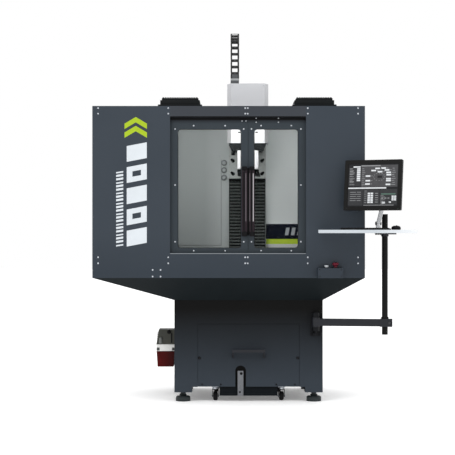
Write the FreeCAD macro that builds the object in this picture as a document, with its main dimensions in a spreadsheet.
import FreeCAD, Part
import math
import os
import re

# Enclosed CNC vertical milling machine with a swing-arm console.
# Millimetres. +X to the right of the operator, +Y to the back, +Z up, floor at Z = 0.
# The machine's centre line is X = 0 and the enclosure's front face is Y = 0 in the
# expressions below; machine_x and front_y shift everything to the overall box's centre.

Vec = FreeCAD.Vector
doc = FreeCAD.newDocument("MillingMachine")
dims = doc.addObject("Spreadsheet::Sheet", "Dims")

VALUES = [
    # overall placing
    ("machine_x", -24.0),
    ("front_y", -367.0),
    # general sheet metal
    ("sheet", 3.0),
    ("run_gap", 0.5),
    ("fit_gap", 0.06),
    # stand
    ("stand_half_w", 480.0),
    ("stand_front", 200.0),
    ("stand_back", 1000.0),
    ("stand_top", 657.0),
    ("stand_low", 95.0),
    ("leg_low", 60.0),
    ("post_in", 330.0),
    ("bay_top", 504.0),
    ("bracket_w", 114.0),
    ("foot_x", 425.0),
    ("foot_front", 250.0),
    ("foot_back", 950.0),
    ("pad_radius", 48.0),
    ("stud_radius", 10.0),
    # enclosure
    ("left_wall", -992.0),
    ("right_wall", 734.0),
    ("back_wall", 900.0),
    ("lip_z", 807.0),
    ("sill_z", 961.0),
    ("header_z", 1826.0),
    ("roof_z", 1896.0),
    ("opening_left", -500.0),
    ("opening_right", 361.0),
    ("roof_slot", 165.0),
    ("vent_left", -438.0),
    ("vent_right", 416.0),
    ("vent_size", 280.0),
    # doors
    ("door_y", 30.0),
    ("door_t", 12.0),
    ("door_low", 966.0),
    ("door_top", 1838.0),
    ("window_low", 996.0),
    ("window_top", 1752.0),
    ("window_r", 20.0),
    ("pane_t", 5.0),
    ("handle_low", 1070.0),
    ("handle_top", 1512.0),
    # castings
    ("base_half_w", 190.0),
    ("base_front", 235.0),
    ("way_z", 830.0),
    ("column_front", 860.0),
    ("column_back", 1120.0),
    ("column_half_w", 120.0),
    ("column_top", 1880.0),
    # axes
    ("table_y", 690.0),
    ("table_half_w", 432.0),
    ("table_half_d", 120.5),
    ("table_top", 975.0),
    ("table_low", 915.0),
    ("saddle_half_w", 200.0),
    ("screw_r", 10.0),
    ("spindle_y", 590.0),
    ("spindle_r", 32.0),
    ("nose_z", 1458.0),
    ("head_low", 1466.0),
    ("cover_low", 1692.0),
    ("cover_top", 2090.0),
    ("cover_half_w", 138.0),
    ("cover_front", 505.0),
    # energy chain
    ("chain_x", -86.0),
    ("chain_w", 58.0),
    ("chain_front", 700.0),
    ("chain_r", 75.0),
    ("chain_low", 2130.0),
    ("chain_mid", 2350.0),
    # console
    ("pivot_x", 432.0),
    ("pivot_y", 150.0),
    ("arm_angle", -7.58),
    ("arm_z", 518.0),
    ("arm_reach", 441.7),
    ("post_x", 869.84),
    ("post_y", 91.735),
    ("post_r", 19.0),
    ("shelf_z", 1092.0),
    ("shelf_t", 20.0),
    ("shelf_turn", -3.7),
    ("monitor_z", 1381.0),
    ("monitor_yaw", -26.0),
    ("monitor_tilt", -6.4),
    # electrical cabinet door
    ("hinge_x", -908.0),
    ("hinge_y", 1104.0),
    # coolant tank
    ("tank_half_w", 188.0),
    ("tank_low", 36.0),
    ("tank_top", 330.0),
    ("caster_x", 215.0),
    ("wheel_r", 30.0),
    ("caster_front", 275.0),
    ("caster_back", 760.0),
]
for row, (alias, value) in enumerate(VALUES, start=1):
    dims.set("A%d" % row, alias)
    dims.set("B%d" % row, repr(value))
    dims.setAlias("B%d" % row, alias)
doc.recompute()
V = dict(VALUES)
NODES = []


def cell(expression):
    """An expression with each named value pointed at its spreadsheet cell."""
    def point(match):
        word = match.group(0)
        return "Dims." + word if word in V else word
    return re.sub(r"[A-Za-z_]\w*", point, str(expression))


def bind(obj, prop, expression):
    obj.setExpression(prop, cell(expression))


def place(obj, x, y, z, rotation=None, shifted=True):
    if rotation is not None:
        obj.Placement = FreeCAD.Placement(Vec(0, 0, 0), rotation)
    bind(obj, "Placement.Base.x", "(%s) + machine_x" % x if shifted else x)
    bind(obj, "Placement.Base.y", "(%s) + front_y" % y if shifted else y)
    bind(obj, "Placement.Base.z", z)
    return obj


def box(x0, x1, y0, y1, z0, z1, shifted=True):
    """A block between two opposite corners."""
    b = doc.addObject("Part::Box", "block")
    bind(b, "Length", "(%s) - (%s)" % (x1, x0))
    bind(b, "Width", "(%s) - (%s)" % (y1, y0))
    bind(b, "Height", "(%s) - (%s)" % (z1, z0))
    return place(b, x0, y0, z0, shifted=shifted)


TURN = {
    "x": FreeCAD.Rotation(Vec(0, 1, 0), 90),
    "y": FreeCAD.Rotation(Vec(1, 0, 0), -90),
    "z": FreeCAD.Rotation(),
}


def rod(axis, x, y, z, radius, length, shifted=True):
    """A cylinder that starts at x, y, z and runs along +axis."""
    c = doc.addObject("Part::Cylinder", "rod")
    bind(c, "Radius", radius)
    bind(c, "Height", length)
    return place(c, x, y, z, TURN[axis], shifted)


def cone(axis, x, y, z, radius_a, radius_b, length, shifted=True):
    c = doc.addObject("Part::Cone", "cone")
    bind(c, "Radius1", radius_a)
    bind(c, "Radius2", radius_b)
    bind(c, "Height", length)
    return place(c, x, y, z, TURN[axis], shifted)


def hexagon(x, y, z, radius, height):
    """A hexagon nut blank standing on z."""
    p = doc.addObject("Part::Prism", "hexagon")
    p.Polygon = 6
    bind(p, "Circumradius", radius)
    bind(p, "Height", height)
    return place(p, x, y, z)


def taper(low, high, z0, z1):
    """A frustum with a rectangle (x0, x1, y0, y1) at z0 and another at z1."""
    w = doc.addObject("Part::Wedge", "taper")
    names = (("Xmin", "Xmax", "Zmax", "Zmin", low), ("X2min", "X2max", "Z2max", "Z2min", high))
    for xmin, xmax, zmax, zmin, (x0, x1, y0, y1) in names:
        bind(w, xmin, "(%s) + machine_x" % x0)
        bind(w, xmax, "(%s) + machine_x" % x1)
        bind(w, zmax, "-(%s) - front_y" % y0)
        bind(w, zmin, "-(%s) - front_y" % y1)
    bind(w, "Ymin", z0)
    bind(w, "Ymax", z1)
    w.Placement = FreeCAD.Placement(Vec(0, 0, 0), FreeCAD.Rotation(Vec(1, 0, 0), 90))
    return w


def flare(front, back, y0, y1):
    """A frustum with a rectangle (x0, x1, z0, z1) at y0 and another at y1."""
    w = doc.addObject("Part::Wedge", "flare")
    names = (("Xmin", "Xmax", "Zmin", "Zmax", front), ("X2min", "X2max", "Z2min", "Z2max", back))
    for xmin, xmax, zmin, zmax, (x0, x1, z0, z1) in names:
        bind(w, xmin, "(%s) + machine_x" % x0)
        bind(w, xmax, "(%s) + machine_x" % x1)
        bind(w, zmin, z0)
        bind(w, zmax, z1)
    bind(w, "Ymin", "(%s) + front_y" % y0)
    bind(w, "Ymax", "(%s) + front_y" % y1)
    return w


def fuse(*parts):
    if len(parts) == 1:
        return parts[0]
    f = doc.addObject("Part::MultiFuse", "joined")
    f.Shapes = list(parts)
    f.Refine = True
    return f


def cut(base, *tools):
    c = doc.addObject("Part::Cut", "trimmed")
    c.Base = base
    c.Tool = fuse(*tools)
    return c


def group(*parts):
    g = doc.addObject("Part::Compound", "group")
    g.Links = list(parts)
    return g


def rounded(x0, x1, y0, y1, z0, z1, r):
    """A slab along Y with its four corners rounded in X and Z."""
    parts = [
        box("(%s) + %s" % (x0, r), "(%s) - %s" % (x1, r), y0, y1, z0, z1),
        box(x0, x1, y0, y1, "(%s) + %s" % (z0, r), "(%s) - %s" % (z1, r)),
    ]
    for x, sx in ((x0, "+"), (x1, "-")):
        for z, sz in ((z0, "+"), (z1, "-")):
            parts.append(rod("y", "(%s) %s %s" % (x, sx, r), y0, "(%s) %s %s" % (z, sz, r),
                             r, "(%s) - (%s)" % (y1, y0)))
    return fuse(*parts)


def node(name, obj):
    """Names the finished sub-part; its file takes the same name."""
    obj.Label = name
    NODES.append(obj)
    return obj


SIDES = (("-", -1), ("", 1))

# ---------------------------------------------------------------- stand
walls = []
for s, sign in SIDES:
    edge = ["%sstand_half_w" % s, "%s(stand_half_w - sheet)" % s]
    inner = ["%spost_in" % s, "%s(post_in + sheet)" % s]
    wide = ["%sstand_half_w" % s, "%spost_in" % s]
    if sign > 0:
        edge.reverse()
        wide.reverse()
    else:
        inner.reverse()
    walls.append(box(edge[0], edge[1], "stand_front", "stand_back", "stand_low", "stand_top - 8"))
    walls.append(box(wide[0], wide[1], "stand_front", "stand_front + sheet", "stand_low",
                     "stand_top - 8"))
    walls.append(box(inner[0], inner[1], "stand_front", "stand_front + 100", "stand_low",
                     "bay_top"))
walls.append(box("-post_in", "post_in", "stand_front", "stand_front + sheet", "bay_top",
                 "stand_top - 8"))
walls.append(box("-(post_in + sheet)", "post_in + sheet", "stand_front", "stand_front + 40",
                 "bay_top", "bay_top + sheet"))
walls.append(box("-stand_half_w", "stand_half_w", "stand_front", "stand_back", "stand_top - 8",
                 "stand_top"))
walls.append(box("-stand_half_w", "stand_half_w", "stand_back - sheet", "stand_back", "stand_low",
                 "stand_top - 8"))
stud_holes = []
for s, sign in SIDES:
    span = ["%sstand_half_w" % s, "%s(stand_half_w - bracket_w)" % s]
    skin = ["%sstand_half_w" % s, "%s(stand_half_w - 2*sheet)" % s]
    if sign > 0:
        span.reverse()
        skin.reverse()
    for front in (True, False):
        y0 = "stand_front" if front else "stand_back - bracket_w"
        y1 = "stand_front + bracket_w" if front else "stand_back"
        face = ("stand_front", "stand_front + 2*sheet") if front else (
            "stand_back - 2*sheet", "stand_back")
        walls.append(box(span[0], span[1], y0, y1, "leg_low", "leg_low + 8"))
        walls.append(box(span[0], span[1], face[0], face[1], "leg_low", "leg_low + 110"))
        walls.append(box(skin[0], skin[1], y0, y1, "leg_low", "leg_low + 110"))
        stud_holes.append(rod("z", "%sfoot_x" % s, "foot_front" if front else "foot_back",
                              "leg_low - 1", "stud_radius + 0.5", 12))
node("stand_cabinet", cut(fuse(*walls), *stud_holes))

feet = []
for s, sign in SIDES:
    for y in ("foot_front", "foot_back"):
        x = "%sfoot_x" % s
        feet.append(fuse(
            rod("z", x, y, 0, "pad_radius", 26),
            cone("z", x, y, 26, "pad_radius", 42, 6),
            cone("z", x, y, 32, 20, 24, 12),
            rod("z", x, y, 43, "stud_radius", 52),
            hexagon(x, y, "leg_low - 13", 17, 12.5)))
node("levelling_feet", group(*feet))

# ---------------------------------------------------------------- castings
base = fuse(
    box("-base_half_w", "base_half_w", "base_front", "column_back", "stand_top", "way_z - 30"),
    box(-150, -90, "base_front", "column_front", "way_z - 30", "way_z"),
    box(90, 150, "base_front", "column_front", "way_z - 30", "way_z"),
    box(-170, 170, "column_front", "column_back", "way_z - 30", "way_z + 20"))
node("base_casting", cut(
    base,
    box(-60, 60, "base_front + 25", "column_front - 15", "way_z - 90", "way_z + 1"),
    rod("y", 0, "base_front - 1", "way_z - 55", "screw_r + fit_gap", 40)))

column = fuse(
    box("-column_half_w", "column_half_w", "column_front", "column_back", "way_z + 20",
        "column_top"),
    box(-100, 100, "column_front", "column_front + 140", "column_top", "column_top + 20"))
node("column_casting", cut(
    column,
    box(-45, 45, "column_front - 1", "column_front + 80", "way_z + 45", "column_top"),
    rod("z", 0, "column_front + 40", "column_top - 1", "screw_r + fit_gap", 30),
    box(-80, 80, "column_front + 110", "column_back - 20", "way_z + 40", "column_top - 40")))

# ---------------------------------------------------------------- chip pan
pan_outer = taper(
    ("-stand_half_w", "stand_half_w", "stand_front", "back_wall"),
    ("left_wall", "right_wall", 0, "back_wall"), "stand_top", "lip_z")
pan_inner = taper(
    ("4 - stand_half_w", "stand_half_w - 4", "stand_front + 4", "back_wall - 4"),
    ("left_wall + 4", "right_wall - 4", 4, "back_wall - 4"), "stand_top", "lip_z")
node("chip_pan", cut(pan_outer, pan_inner,
                     box(-195, 195, "back_wall - 10", "back_wall + 10", "stand_top", "lip_z")))

# ---------------------------------------------------------------- enclosure
node("enclosure_left_front_panel", fuse(
    box("left_wall", "opening_left", 0, "sheet", "sill_z", "roof_z"),
    box("opening_left - sheet", "opening_left", "sheet", 20, "sill_z", "roof_z - sheet")))
node("enclosure_right_front_panel", fuse(
    box("opening_right", "right_wall", 0, "sheet", "sill_z", "roof_z"),
    box("opening_right", "opening_right + sheet", "sheet", 20, "sill_z", "roof_z - sheet")))
node("enclosure_header", fuse(
    box("opening_left", "opening_right", 0, "sheet", "header_z", "roof_z"),
    box("opening_left", "opening_right", "sheet", 22, "header_z", "header_z + sheet")))
node("enclosure_apron", fuse(
    box("left_wall", "right_wall", 0, "sheet", "lip_z", "sill_z"),
    box("left_wall + sheet", "right_wall - sheet", "sheet", 20, "sill_z - sheet", "sill_z")))
node("enclosure_side_walls", group(
    box("left_wall", "left_wall + sheet", "sheet", "back_wall - sheet", "lip_z",
        "roof_z - sheet"),
    box("right_wall - sheet", "right_wall", "sheet", "back_wall - sheet", "lip_z",
        "roof_z - sheet")))
fittings = [box(-480, -182, "back_wall - sheet - 3", "back_wall - sheet", 1005, 1632)]
for z in (1577, 1526, 1474):
    fittings.append(rod("y", -160, "back_wall - sheet - 8", z, 17, 9))
    fittings.append(rod("y", -160, "back_wall - sheet - 18", z, 12, 12))
wall = cut(
    box("left_wall", "right_wall", "back_wall - sheet", "back_wall", "lip_z", "roof_z - sheet"),
    box("-column_half_w - 1", "column_half_w + 1", "back_wall - 10", "back_wall + 10",
        "lip_z - 1", "roof_z"),
    box(-205, 205, "back_wall - 10", "back_wall + 10", "lip_z - 1", "way_z + 32"))
node("enclosure_back_wall", fuse(wall, *fittings))
node("enclosure_roof", cut(
    box("left_wall", "right_wall", "sheet", "back_wall", "roof_z - sheet", "roof_z"),
    box("-roof_slot", "roof_slot", 450, "back_wall + 1", "roof_z - 10", "roof_z + 10")))

vents = []
for centre in ("vent_left", "vent_right"):
    pieces = [
        box("%s - vent_size/2" % centre, "%s + vent_size/2" % centre, 20, "20 + vent_size",
            "roof_z", "roof_z + 12"),
        box("%s - 126" % centre, "%s + 126" % centre, 34, 286, "roof_z + 12", "roof_z + 40"),
        box("%s - 116" % centre, "%s + 116" % centre, 44, 276, "roof_z + 40", "roof_z + 54"),
    ]
    for k in range(15):
        pieces.append(box("%s - 113 + %d*16" % (centre, k), "%s - 111 + %d*16 + 6" % (centre, k),
                          44, 276, "roof_z + 54", "roof_z + 60"))
    vents.append(fuse(*pieces))
node("roof_vents", group(*vents))

tracks = [
    box("left_wall + sheet", "right_wall - sheet", 22, 58, 1868, 1871),
    box("left_wall + sheet", "right_wall - sheet", 22, 25, 1843, 1868),
    box("left_wall + sheet", "right_wall - sheet", 55, 58, 1843, 1868),
    box("left_wall + sheet", "right_wall - sheet", 25, 31, 1843, 1846),
    box("left_wall + sheet", "right_wall - sheet", 49, 55, 1843, 1846),
]
sill = [
    box("left_wall + sheet", "right_wall - sheet", 20, 62, "sill_z - 6", "sill_z"),
    box("left_wall + sheet", "right_wall - sheet", 24, 28, "sill_z", "sill_z + 11"),
    box("left_wall + sheet", "right_wall - sheet", 49, 53, "sill_z", "sill_z + 11"),
]
node("door_tracks", group(fuse(*tracks), fuse(*sill)))

SCREW_X = (-955, -511, 372, 690)
screws = []
for x in SCREW_X:
    for z in (1882, 1847, 938, 900):
        screws.append(rod("y", x, -3, z, 5, 3))
for x in (-24, -8):
    for z in (1882, 1847, 938, 900):
        screws.append(rod("y", x, -3, z, 5, 3))
for x in (-610, -560):
    for z in (858, 816):
        screws.append(rod("y", x, -3, z, 5, 3))
node("enclosure_screws", group(*screws))


# ---------------------------------------------------------------- doors
def door(name, x0, x1, w0, w1, grip0, grip1, screw_in, strip=False):
    """Frame with window, hangers and screws; its pane; its pull handle."""
    parts = [box(x0, x1, "door_y", "door_y + door_t", "door_low", "door_top")]
    if strip:
        parts.append(box(x1 - 12, x1 + 18, "door_y + door_t + run_gap", "door_y + door_t + 3",
                         "door_low + 4", "door_top - 2"))
        parts.append(box(x1 - 12, x1 - 1, "door_y + door_t - 1", "door_y + door_t + 2",
                         "door_low + 4", "door_top - 2"))
    for x in (x0 + 90, x1 - 90):
        parts.append(box(x - 20, x + 20, 33, 39, "door_top", 1860))
        parts.append(rod("y", x, 26, 1857, 9, 28))
    inset = 17
    marks = [(x, z) for x in (w0 - inset, w1 + inset) for z in (1752, 1036)]
    marks += [(w0 - inset if strip else w1 + inset, 1396)]
    marks += [(x, z) for x in (w0 + screw_in, w1 - screw_in) for z in (1773, 979)]
    for x, z in marks:
        parts.append(rod("y", x, "door_y - 3", z, 4.5, 4))
    frame = cut(fuse(*parts), rounded(w0, w1, "door_y - 5", "door_y + door_t + 5", "window_low",
                                      "window_top", "window_r"))
    node(name + "_door_frame", frame)
    node(name + "_door_window", rounded(w0 - 18, w1 + 18, "door_y + door_t",
                                        "door_y + door_t + pane_t", "window_low - 18",
                                        "window_top + 18", "window_r"))
    node(name + "_door_handle", fuse(
        rounded(grip0, grip1, -35, -21, "handle_low", "handle_top", 12),
        box(grip0 + 5, grip1 - 5, -22, "door_y", "handle_low + 6", "handle_low + 32"),
        box(grip0 + 5, grip1 - 5, -22, "door_y", "handle_top - 32", "handle_top - 6")))


door("left", -520, -6, -452, -50, -47, -11, 101, strip=True)
door("right", -4, 381, 33, 313, 1, 35, 44)

# ---------------------------------------------------------------- saddle and table
node("saddle", cut(
    fuse(box("-saddle_half_w", "saddle_half_w", "table_y - 125", "table_y + 125",
             "way_z + run_gap", "table_low - 12"),
         box("-saddle_half_w", "saddle_half_w", "table_y - 110", "table_y - 50",
             "table_low - 12", "table_low - run_gap"),
         box("-saddle_half_w", "saddle_half_w", "table_y + 50", "table_y + 110",
             "table_low - 12", "table_low - run_gap"),
         box(-30, 30, "table_y - 30", "table_y + 30", "way_z - 85", "way_z + 1"),
         box(-35, 35, "table_y - 22", "table_y + 22", "table_low - 13", "table_low + 28")),
    rod("y", 0, "table_y - 40", "way_z - 55", "screw_r + fit_gap", 80),
    rod("x", -40, "table_y", "table_low + 12", "8 + fit_gap", 80)))
slots = [box("-table_half_w - 1", "table_half_w + 1", "table_y + %d - 8" % dy,
             "table_y + %d + 8" % dy, "table_top - 12", "table_top + 1") for dy in (-64, 0, 64)]
slots += [box("-table_half_w - 1", "table_half_w + 1", "table_y + %d - 13" % dy,
              "table_y + %d + 13" % dy, "table_top - 22", "table_top - 12") for dy in (-64, 0, 64)]
node("table", cut(
    box("-table_half_w", "table_half_w", "table_y - table_half_d", "table_y + table_half_d",
        "table_low", "table_top"),
    box("20 - table_half_w", "table_half_w - 20", "table_y - 26", "table_y + 26",
        "table_low - 1", "table_low + 32"),
    rod("x", "-table_half_w - 1", "table_y", "table_low + 12", "8 + fit_gap", 30),
    rod("x", "table_half_w - 25", "table_y", "table_low + 12", "8 + fit_gap", 30),
    *slots))
node("x_axis_motor", fuse(
    box("-table_half_w - 90", "-table_half_w - 10", "table_y - 40", "table_y + 40",
        "table_low - 28", "table_low + 52"),
    box("-table_half_w - 10", "-table_half_w", "table_y - 32", "table_y + 32",
        "table_low - 15", "table_low + 40")))
node("x_ball_screw", rod("x", "2 - table_half_w", "table_y", "table_low + 12", 8,
                         "2*table_half_w - 4"))
node("y_ball_screw", rod("y", 0, "base_front + 2", "way_z - 55", "screw_r",
                         "column_front - base_front - 20"))
node("z_ball_screw", rod("z", 0, "column_front + 40", "way_z + 46", "screw_r",
                         "column_top - way_z - 30"))
node("axis_motors", group(
    fuse(box(-43, 43, "base_front - 85", "base_front - 10", "way_z - 98", "way_z - 12"),
         box(-32, 32, "base_front - 10", "base_front", "way_z - 87", "way_z - 23")),
    fuse(box(-43, 43, "column_front - 3", "column_front + 83", "column_top + 32",
             "column_top + 125"),
         box(-32, 32, "column_front + 8", "column_front + 72", "column_top + 20",
             "column_top + 32"))))

# ---------------------------------------------------------------- head
ways_face = "column_front - run_gap"
head = fuse(
    box(-127, 127, "column_front - 65", ways_face, "head_low", "cover_low + 98"),
    box(-100, 100, 520, "column_front - 65", 1645, "cover_low + 98"),
    taper((-92, 92, 524, 795), (-126, 126, 512, 795), 1645, "cover_low - 1"),
    box(-30, 30, "column_front - 1", "column_front + 65", 1560, 1640))
sockets = [rod("y", x, "column_front - 66", z, 9, 12)
           for x in (-98, 100) for z in (1586, 1497)]
node("head_casting", cut(
    head,
    rod("z", 0, "column_front + 40", 1550, "screw_r + fit_gap", 100),
    rod("z", 0, "spindle_y", 1640, "spindle_r + 1", 200),
    *sockets))
node("spindle_housing", cut(
    fuse(box(-71, 71, "spindle_y - 71", "spindle_y + 71", 1518, 1645),
         rod("z", 0, "spindle_y", "nose_z + 32", 62, 28.5),
         rod("z", 0, "spindle_y", "nose_z", 46, 33),
         rod("z", 66, "spindle_y - 30", "nose_z + 10", 9, 51),
         rod("z", 74, "spindle_y - 8", "nose_z + 16", 7, 45)),
    rod("z", 0, "spindle_y", "nose_z - 1", "spindle_r + fit_gap", 250)))
node("spindle", cut(
    rod("z", 0, "spindle_y", "nose_z - 10", "spindle_r", "1788 - nose_z + 10"),
    cone("z", 0, "spindle_y", "nose_z - 10", 16, 9, 48),
    rod("z", 0, "spindle_y", "nose_z", 6, 400)))
node("spindle_motor", fuse(
    box(-68, 68, "spindle_y - 62", "spindle_y + 68", "cover_low + 98", "cover_low + 330"),
    rod("z", 0, "spindle_y", "cover_low + 330", 50, 30)))
node("head_cover", cut(
    fuse(flare((-112, 112, "cover_low", "cover_top"),
               ("-cover_half_w", "cover_half_w", "cover_low", "cover_top"),
               "cover_front", "cover_front + 60"),
         box("-cover_half_w", "cover_half_w", "cover_front + 60", 790, "cover_low",
             "cover_top")),
    flare((-111, 111, "cover_low - 5", "cover_top - 2"),
          ("2 - cover_half_w", "cover_half_w - 2", "cover_low - 5", "cover_top - 2"),
          "cover_front + 2", "cover_front + 61"),
    box("2 - cover_half_w", "cover_half_w - 2", "cover_front + 60", 791, "cover_low - 5",
        "cover_top - 2")))

# ---------------------------------------------------------------- way covers
folds = [box(-122, 122, "column_front - 22", "column_front - 2", "way_z + 40", "head_low - 1")]
for k in range(27):
    folds.append(box(-127, 127, "column_front - 32", "column_front - 3",
                     "way_z + 41 + %d*22" % k, "way_z + 53 + %d*22" % k))
node("z_way_cover", fuse(*folds))
folds = [box(-165, 165, "base_front + 10", "table_y - 125.5", "way_z + 2", "way_z + 14")]
for k in range(14):
    folds.append(box(-170, 170, "base_front + 12 + %d*22" % k, "base_front + 24 + %d*22" % k,
                     "way_z + 2", "way_z + 22"))
node("y_way_cover", fuse(*folds))


# ---------------------------------------------------------------- energy chain
def chain_link(y, z, angle, length=40.6):
    """One open link, its length along the run, turned about X at its centre."""
    pieces = []
    half = V["chain_w"] / 2
    for x0, x1 in ((-half, -half + 8), (half - 8, half)):
        pieces.append(box(x0, x1, -13, 13, -length / 2, length / 2, shifted=False))
    for y0 in (-13, 10):
        pieces.append(box(-half, half, y0, y0 + 3, -8, 8, shifted=False))
    link = fuse(*pieces)
    link.Placement = FreeCAD.Placement(Vec(0, 0, 0), FreeCAD.Rotation(Vec(1, 0, 0), angle))
    return place(link, "chain_x", y, z, FreeCAD.Rotation(Vec(1, 0, 0), angle))


links = []
PITCH = 40.0
run = int((V["chain_mid"] - V["chain_low"]) // PITCH)
for k in range(run + 1):
    z = "chain_mid - %d*40" % k
    links.append(chain_link("chain_front", z, 0))
    links.append(chain_link("chain_front + 2*chain_r", z, 0))
ARC = 6
for k in range(ARC):
    angle = 180.0 * (k + 0.5) / ARC
    y = "chain_front + chain_r*(1 - %.6f)" % math.cos(math.radians(angle))
    z = "chain_mid + 20 + chain_r*%.6f" % math.sin(math.radians(angle))
    links.append(chain_link(y, z, -angle, 2 * V["chain_r"] * math.tan(math.pi / 2 / ARC) + 9))
links.append(box("chain_x - 27", "chain_x + 27", "chain_front - 16", "chain_front + 16",
                 "cover_top", "cover_top + 95"))
links.append(box("chain_x - 27", "chain_x + 27", "chain_front + 2*chain_r + 12",
                 "chain_front + 2*chain_r + 20", "column_top + 20", "chain_mid - 200"))
node("energy_chain", fuse(*links))

# ---------------------------------------------------------------- electrical cabinet
drives = [box(x0, x1, "back_wall + 2", "back_wall + 120", z0, z1) for x0, x1, z0, z1 in (
    (-860, -780, 1350, 1600), (-740, -660, 1350, 1600), (-620, -540, 1350, 1600),
    (-860, -700, 1000, 1250), (-640, -380, 1010, 1180))]
# Each hinge: a fixed barrel with a pin below, a moving barrel above, one leaf each.
fixed_hinges = []
moving_hinges = []
for z in (1000, 1530):
    fixed_hinges.append(rod("z", "hinge_x", "hinge_y", z, 7, 40))
    fixed_hinges.append(rod("z", "hinge_x", "hinge_y", z, 3, 79))
    fixed_hinges.append(box("hinge_x + 4", "hinge_x + 8", "back_wall + 165", "back_wall + 200", z,
                            z + 40))
    moving_hinges.append(rod("z", "hinge_x", "hinge_y", z + 40.3, 7, 40))
    moving_hinges.append(box("hinge_x + 3", "hinge_x + 50", "back_wall + 204", "back_wall + 207",
                             z + 40.3, z + 80.3))
node("electrical_cabinet", fuse(
    cut(box(-900, -300, "back_wall", "back_wall + 200", 950, 1650),
        box(-897, -303, "back_wall + 3", "back_wall + 201", 953, 1647)),
    *drives, *fixed_hinges))
node("cabinet_door", cut(
    fuse(box(-900, -300, "back_wall + 201", "back_wall + 204", 950, 1650),
         box(-345, -325, "back_wall + 204", "back_wall + 224", 1270, 1330),
         *moving_hinges),
    *[rod("z", "hinge_x", "hinge_y", z + 35, "3 + fit_gap", 50) for z in (1000, 1530)]))

# ---------------------------------------------------------------- control box
node("control_box", cut(
    fuse(box(433, 592, -62, 0, 808, 871),
         rod("z", 545, -32, 871, 23, 3),
         rod("z", 488, -32, 871, 14, 4),
         rod("y", 444, -64, 818, 4, 3), rod("y", 581, -64, 818, 4, 3),
         rod("y", 444, -64, 861, 4, 3), rod("y", 581, -64, 861, 4, 3)),
    rod("z", 545, -32, 845, 11.5, 40),
    rod("z", 488, -32, 850, 9.5, 40)))
node("estop_button", fuse(rod("z", 545, -32, 855, 11, 33), rod("z", 545, -32, 882, 17, 8),
                          rod("z", 545, -32, 888, 20, 14), cone("z", 545, -32, 902, 20, 14, 4)))
node("start_button", fuse(rod("z", 488, -32, 858, 9, 22), rod("z", 488, -32, 879.5, 13, 8)))

# ---------------------------------------------------------------- oiler
node("oiler_pump", fuse(
    taper((-606, "-stand_half_w - 4", 376, 534), (-590, "-stand_half_w - 4", 384, 528), 356, 453),
    box("-stand_half_w - 4", "-stand_half_w", 370, 540, 330, 470),
    box(-606, -483, 374, 536, 311, 356),
    rod("y", -560, 366, 405, 22, 16)))
node("oiler_reservoir", cut(
    taper((-598, -492, 386, 524), (-604, -486, 380, 530), 208, 311),
    taper((-595, -495, 389, 521), (-601, -489, 383, 527), 212, 311)))

# ---------------------------------------------------------------- coolant tank
tank = [cut(box("-tank_half_w", "tank_half_w", "stand_front + 20", 850, "tank_low", "tank_top"),
            box("3 - tank_half_w", "tank_half_w - 3", "stand_front + 23", 847, "tank_low + 3",
                "tank_top + 1"))]
for s, sign in SIDES:
    flange = ["%s(tank_half_w + 56)" % s, "%stank_half_w" % s]
    if sign > 0:
        flange.reverse()
    tank.append(box(flange[0], flange[1], 235, 800, 95, 100))
tank.append(box(-150, 150, "stand_front + 3", "stand_front + 20", 250, 280))
tank.append(box(-70, -34, "stand_front + 5", "stand_front + 9", 40, 197))
tank.append(box(-70, -34, "stand_front + 9", "stand_front + 20", 60, 70))
node("coolant_tank", fuse(*tank))
node("tank_fascia", cut(
    fuse(box("3 - post_in", "post_in - 3", "stand_front", "stand_front + sheet", "stand_low + 2",
             "bay_top - 3"),
         rod("y", -318, "stand_front - 3", 283, 8, 3), rod("y", 318, "stand_front - 3", 283, 8, 3)),
    box(-86, -17, "stand_front - 5", "stand_front + 10", "stand_low", 199),
    rod("y", -51.5, "stand_front - 5", 199, 34.5, 15)))
node("tank_handle", fuse(
    box(-106, 106, "stand_front - 52", "stand_front - 36", 322, 340),
    taper((-106, -94, "stand_front - 12", "stand_front"),
          (-106, -94, "stand_front - 52", "stand_front - 36"), 284, 323),
    taper((94, 106, "stand_front - 12", "stand_front"),
          (94, 106, "stand_front - 52", "stand_front - 36"), 284, 323)))
forks = []
front_wheels = []
back_wheels = []
for s, sign in SIDES:
    for y, wheels in (("caster_front", front_wheels), ("caster_back", back_wheels)):
        x = "%scaster_x" % s
        forks.append(fuse(
            box("%s - 25" % x, "%s + 25" % x, "%s - 32" % y, "%s + 32" % y, 90, 95),
            box("%s - 21" % x, "%s + 21" % x, "%s - 16" % y, "%s + 16" % y, 70, 90),
            box("%s - 21" % x, "%s - 17" % x, "%s - 12" % y, "%s + 12" % y, 20, 71),
            box("%s + 17" % x, "%s + 21" % x, "%s - 12" % y, "%s + 12" % y, 20, 71),
            rod("x", "%s - 21" % x, y, "wheel_r", 5, 42)))
        wheels.append(cut(
            rod("x", "%s - 15" % x, y, "wheel_r", "wheel_r", 30),
            rod("x", "%s - 16" % x, y, "wheel_r", "5 + fit_gap", 32)))
node("caster_forks", group(*forks))
node("caster_wheels_front", group(*front_wheels))
node("caster_wheels_back", group(*back_wheels))

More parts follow.
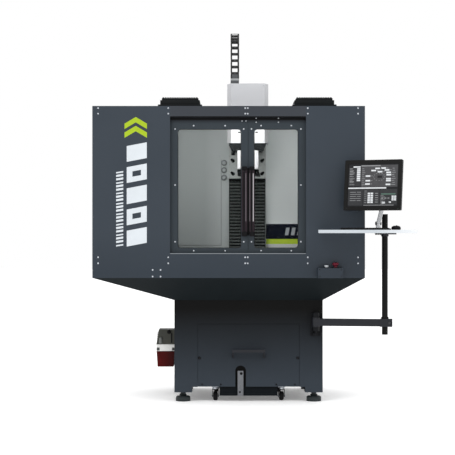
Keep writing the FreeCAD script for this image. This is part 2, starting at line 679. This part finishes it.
# ---------------------------------------------------------------- console arm
node("arm_bracket", fuse(
    box("pivot_x - 33", "pivot_x + 33", "stand_front - 6", "stand_front", 426, 576),
    box("pivot_x - 22", "pivot_x + 22", "pivot_y", "stand_front - 6", "arm_z + 31", 576),
    rod("z", "pivot_x", "pivot_y", "arm_z + 31", 22, 27),
    box("pivot_x - 22", "pivot_x + 22", "pivot_y", "stand_front - 6", 460, "arm_z - 31"),
    rod("z", "pivot_x", "pivot_y", 460, 22, 27),
    rod("z", "pivot_x", "pivot_y", 448, 9, 134),
    rod("z", "pivot_x", "pivot_y", 576, 14, 5),
    box("pivot_x - 16", "pivot_x + 16", "pivot_y", "stand_front - 6", 428, 448)))
arm = cut(
    fuse(box(0, "arm_reach - 20", -25, 25, -23, 23, shifted=False),
         rod("z", 0, 0, -30, 24, 60, shifted=False),
         box("arm_reach - 30", "arm_reach + 48", -30, 30, -25, 25, shifted=False),
         rod("y", "arm_reach + 30", -36, 0, 8, 10, shifted=False)),
    rod("z", 0, 0, -40, "9 + fit_gap", 80, shifted=False),
    rod("z", "arm_reach", 0, -40, "post_r + fit_gap", 80, shifted=False))
node("swing_arm", place(arm, "pivot_x", "pivot_y", "arm_z",
                        FreeCAD.Rotation(Vec(0, 0, 1), V["arm_angle"])))
node("console_post", cut(
    fuse(rod("z", "post_x", "post_y", 442, "post_r", 770),
         rod("z", "post_x", "post_y", "arm_z + 25.3", 24, 12)),
    rod("z", "post_x", "post_y", 441, "post_r - 3", 766)))
node("shelf_bracket", cut(
    fuse(rod("z", "post_x", "post_y", 1070, 24, "shelf_z - 1070"),
         box("post_x - 24", "post_x + 24", -330, "post_y", "shelf_z - 8", "shelf_z")),
    rod("z", "post_x", "post_y", 1030, "post_r + 0.05", 70)))
board = fuse(box(-300, 300, -162, 163.5, 0, "shelf_t", shifted=False),
             box(-300, 300, -163.5, -162, 0, "shelf_t", shifted=False))
node("shelf", place(board, 726, -208.5, "shelf_z",
                    FreeCAD.Rotation(Vec(0, 0, 1), V["shelf_turn"])))
keys = [box(559, 862, -330, -200, "shelf_z + shelf_t", "shelf_z + shelf_t + 10")]
for r in range(5):
    for c in range(15):
        keys.append(box("565 + %d*19.5" % c, "565 + %d*19.5 + 17" % c, "-325 + %d*24" % r,
                        "-325 + %d*24 + 21" % r, "shelf_z + shelf_t + 9",
                        "shelf_z + shelf_t + 13.5"))
node("keyboard", fuse(*keys))
node("mouse", fuse(
    taper((870, 928, -322, -217), (875, 923, -316, -224), "shelf_z + shelf_t",
          "shelf_z + shelf_t + 14"),
    taper((875, 923, -316, -224), (885, 913, -298, -240), "shelf_z + shelf_t + 14",
          "shelf_z + shelf_t + 26")))
node("monitor_arm", fuse(
    box(777, 843, -110, -42, "shelf_z + shelf_t", "shelf_z + shelf_t + 8"),
    box(790, 830, -48, -42, 1082, "shelf_z + shelf_t + 4"),
    box(790, 830, -86, -42, 1082, 1087),
    rod("z", 797, -68, 1074, 5, 18),
    rod("z", 810, -68, 1074, 5, 18),
    rod("z", 823, -68, 1074, 5, 18),
    rod("z", 810, -78, "shelf_z + shelf_t + 7", 15, 40),
    taper((797, 823, -90, -66), (836, 860, -102, -78), 1150, 1310),
    taper((836, 860, -102, -78), (796, 820, -118, -94), 1309, 1361),
    rod("z", 808, -106, 1353, 15, 12),
    rod("z", 808, -106, 1363, 8, 42)))
TILT = FreeCAD.Rotation(Vec(0, 0, 1), V["monitor_yaw"])
head_block = cut(
    fuse(rod("z", 0, 28, -15, 17, 36, shifted=False),
         box(-13, 13, -6, 28, -14, 14, shifted=False),
         rod("x", -30, 0, 0, 5, 60, shifted=False)),
    rod("z", 0, 28, -30, "8 + fit_gap", 60, shifted=False))
YAW = math.radians(V["monitor_yaw"])
TILT_X = 808 + 28 * math.sin(YAW)
TILT_Y = -106 - 28 * math.cos(YAW)
node("monitor_tilt_head", place(head_block, "%.6f" % TILT_X, "%.6f" % TILT_Y, "monitor_z", TILT))
LEAN = TILT.multiply(FreeCAD.Rotation(Vec(1, 0, 0), V["monitor_tilt"]))
housing = cut(
    fuse(box(-188, 188, -75, -53, -158, 158, shifted=False),
         box(-165, 165, -54, -36, -136, 136, shifted=False),
         box(-120, 120, -37, -16, -100, 100, shifted=False),
         box(-37, 37, -17, -11, -37, 37, shifted=False),
         box(-24, -16, -12, 10, -10, 10, shifted=False),
         box(16, 24, -12, 10, -10, 10, shifted=False)),
    box(-164, 164, -76, -70, -133, 133, shifted=False),
    rod("x", -40, 0, 0, "5 + fit_gap", 80, shifted=False))
node("monitor_housing", place(housing, "%.6f" % TILT_X, "%.6f" % TILT_Y, "monitor_z", LEAN))
glass = fuse(box(-164, 164, -73, -70, -133, 133, shifted=False))
screen = fuse(glass, box(-160, 160, -72, -70, -129, 129, shifted=False))
node("monitor_screen", place(screen, "%.6f" % TILT_X, "%.6f" % TILT_Y, "monitor_z", LEAN))

# ---------------------------------------------------------------- check and write
doc.recompute()
for obj in doc.Objects:
    if "Invalid" in obj.State or "Error" in obj.State:
        raise RuntimeError("%s is %s" % (obj.Label, obj.State))
os.makedirs("parts", exist_ok=True)
for obj in NODES:
    if obj.Shape.isNull() or not obj.Shape.isValid() or not obj.Shape.Solids:
        raise RuntimeError("%s has no valid solid" % obj.Label)
    obj.Shape.exportStep("parts/%s.step" % obj.Label)
    size = obj.Shape.BoundBox
    print("%-28s %2d solids  X %7.1f %7.1f  Y %7.1f %7.1f  Z %7.1f %7.1f" % (
        obj.Label, len(obj.Shape.Solids), size.XMin, size.XMax, size.YMin, size.YMax, size.ZMin,
        size.ZMax))
print(len(NODES), "nodes")
